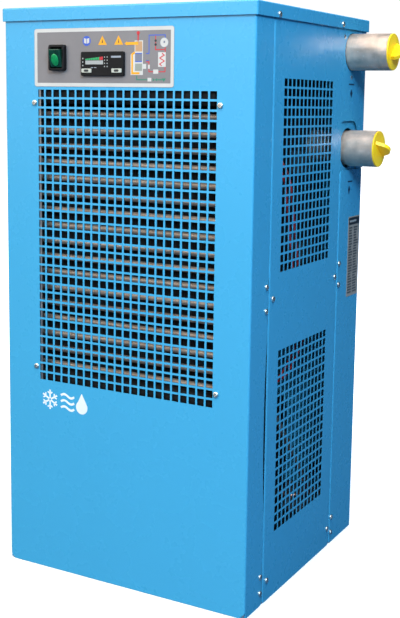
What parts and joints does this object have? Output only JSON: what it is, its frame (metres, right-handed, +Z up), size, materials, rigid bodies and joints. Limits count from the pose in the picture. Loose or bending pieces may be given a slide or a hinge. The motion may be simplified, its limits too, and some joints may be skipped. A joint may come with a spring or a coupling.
{
  "type": "refrigerated air dryer",
  "caption": "Free-standing sheet-metal cabinet with punched grilles, a control panel and side air pipes; it cools compressed air and drains off its water.",
  "frame": {"origin": "centre of the cabinet's footprint, on the floor", "axes": "+X towards the side with the air pipes, -Y towards the front with the controls, +Z up"},
  "size_m": [0.5366, 0.4652, 0.9052],
  "materials": {
    "blue_powder_coat": "gloss powder coat",
    "galvanised_sheet": "galvanised, spangled",
    "zinc_fasteners": "zinc plated",
    "pipe_steel": "galvanised, handled",
    "yellow_cap": "moulded polyethylene",
    "panel_overlay": "printed film",
    "data_plate": "printed film",
    "black_plastic": "moulded",
    "green_lens": "translucent moulded",
    "key_grey": "moulded",
    "dial_grey": "moulded",
    "test_red": "moulded",
    "exchanger_aluminium": "brazed",
    "foam": "closed-cell foam",
    "brass": "machined",
    "solenoid": "machined body with a moulded coil",
    "lever_red": "dipped",
    "hose": "polyurethane",
    "compressor_black": "gloss paint",
    "grommet_rubber": "moulded",
    "copper": "drawn copper",
    "fin_aluminium": "pressed",
    "guard_black": "satin",
    "blade_aluminium": "pressed",
    "box_grey": "moulded",
    "lead_red": "PVC insulation"
  },
  "bodies": {
    "cabinet": {"front_panel": "blue_powder_coat", "front_grille": "blue_powder_coat", "right_panel": "blue_powder_coat", "right_grilles": "blue_powder_coat", "left_panel": "blue_powder_coat", "left_grilles": "blue_powder_coat", "rear_panel": "blue_powder_coat", "lid": "blue_powder_coat", "pipe_plate": "blue_powder_coat", "base_plate": "galvanised_sheet", "side_rails": "galvanised_sheet", "exchanger_bracket": "galvanised_sheet", "condenser_end_plates": "galvanised_sheet", "fan_shroud": "galvanised_sheet", "cabinet_screws": "zinc_fasteners", "compressor_bolts": "zinc_fasteners", "upper_pipe": "pipe_steel", "lower_pipe": "pipe_steel", "drain_pipe": "pipe_steel", "control_label": "panel_overlay", "data_label": "data_plate", "switch_housing": "black_plastic", "controller_housing": "black_plastic", "compressor_terminal_cover": "black_plastic", "cable_gland": "black_plastic", "drain_timer": "black_plastic", "heat_exchanger": "exchanger_aluminium", "front_insulation": "foam", "rear_insulation": "foam", "condenser_seals": "foam", "drain_ball_valve": "brass", "drain_strainer": "brass", "drain_outlet": "brass", "solenoid_drain_valve": "solenoid", "drain_hose": "hose", "compressor_shell": "compressor_black", "compressor_foot": "compressor_black", "compressor_grommets": "grommet_rubber", "condenser_tubes": "copper", "suction_line": "copper", "discharge_line": "copper", "liquid_line": "copper", "capillary_tube": "copper", "hot_gas_valve": "copper", "filter_dryer": "copper", "condenser_fins": "fin_aluminium", "fan_guard": "guard_black", "fan_motor": "guard_black", "electrical_box": "box_grey", "wiring": "lead_red"},
    "rocker": {"switch_rocker": "green_lens"},
    "left_key": {"left_button": "key_grey"},
    "right_key": {"right_button": "key_grey"},
    "fan": {"fan_impeller": "blade_aluminium"},
    "upper_cap": {"upper_plug": "yellow_cap"},
    "lower_cap": {"lower_plug": "yellow_cap"},
    "valve_lever": {"drain_valve_lever": "lever_red"},
    "interval_dial": {"interval_knob": "dial_grey"},
    "duration_dial": {"duration_knob": "dial_grey"},
    "test_key": {"timer_test_button": "test_red"}
  },
  "joints": [
    {"name": "switch_tilt", "type": "hinge", "parent": "cabinet", "child": "rocker", "pos_m": [-0.116, -0.213, 0.8255], "axis": [-1, 0, 0], "range_deg": [0, 16]},
    {"name": "left_key_press", "type": "slide", "parent": "cabinet", "child": "left_key", "axis": [0, 1, 0], "range_m": [0, 0.0008], "stiffness_N_per_m": 1000, "springref_m": -0.0004},
    {"name": "right_key_press", "type": "slide", "parent": "cabinet", "child": "right_key", "axis": [0, 1, 0], "range_m": [0, 0.0008], "stiffness_N_per_m": 1000, "springref_m": -0.0004},
    {"name": "fan_spin", "type": "hinge", "parent": "cabinet", "child": "fan", "pos_m": [0, -0.103, 0.54], "axis": [0, 1, 0], "continuous": true},
    {"name": "upper_cap_pull", "type": "slide", "parent": "cabinet", "child": "upper_cap", "axis": [1, 0, 0], "range_m": [0, 0.03]},
    {"name": "lower_cap_pull", "type": "slide", "parent": "cabinet", "child": "lower_cap", "axis": [1, 0, 0], "range_m": [0, 0.03]},
    {"name": "valve_lever_turn", "type": "hinge", "parent": "cabinet", "child": "valve_lever", "pos_m": [-0.06, 0.119, 0.352], "axis": [0, -1, 0], "range_deg": [0, 90]},
    {"name": "interval_turn", "type": "hinge", "parent": "cabinet", "child": "interval_dial", "pos_m": [-0.154, 0.1245, 0.258], "axis": [0, 1, 0], "range_deg": [0, 270]},
    {"name": "duration_turn", "type": "hinge", "parent": "cabinet", "child": "duration_dial", "pos_m": [-0.134, 0.1245, 0.258], "axis": [0, 1, 0], "range_deg": [0, 270]},
    {"name": "test_press", "type": "slide", "parent": "cabinet", "child": "test_key", "axis": [0, 1, 0], "range_m": [0, 0.0015], "stiffness_N_per_m": 500, "springref_m": -0.0006}
  ]
}
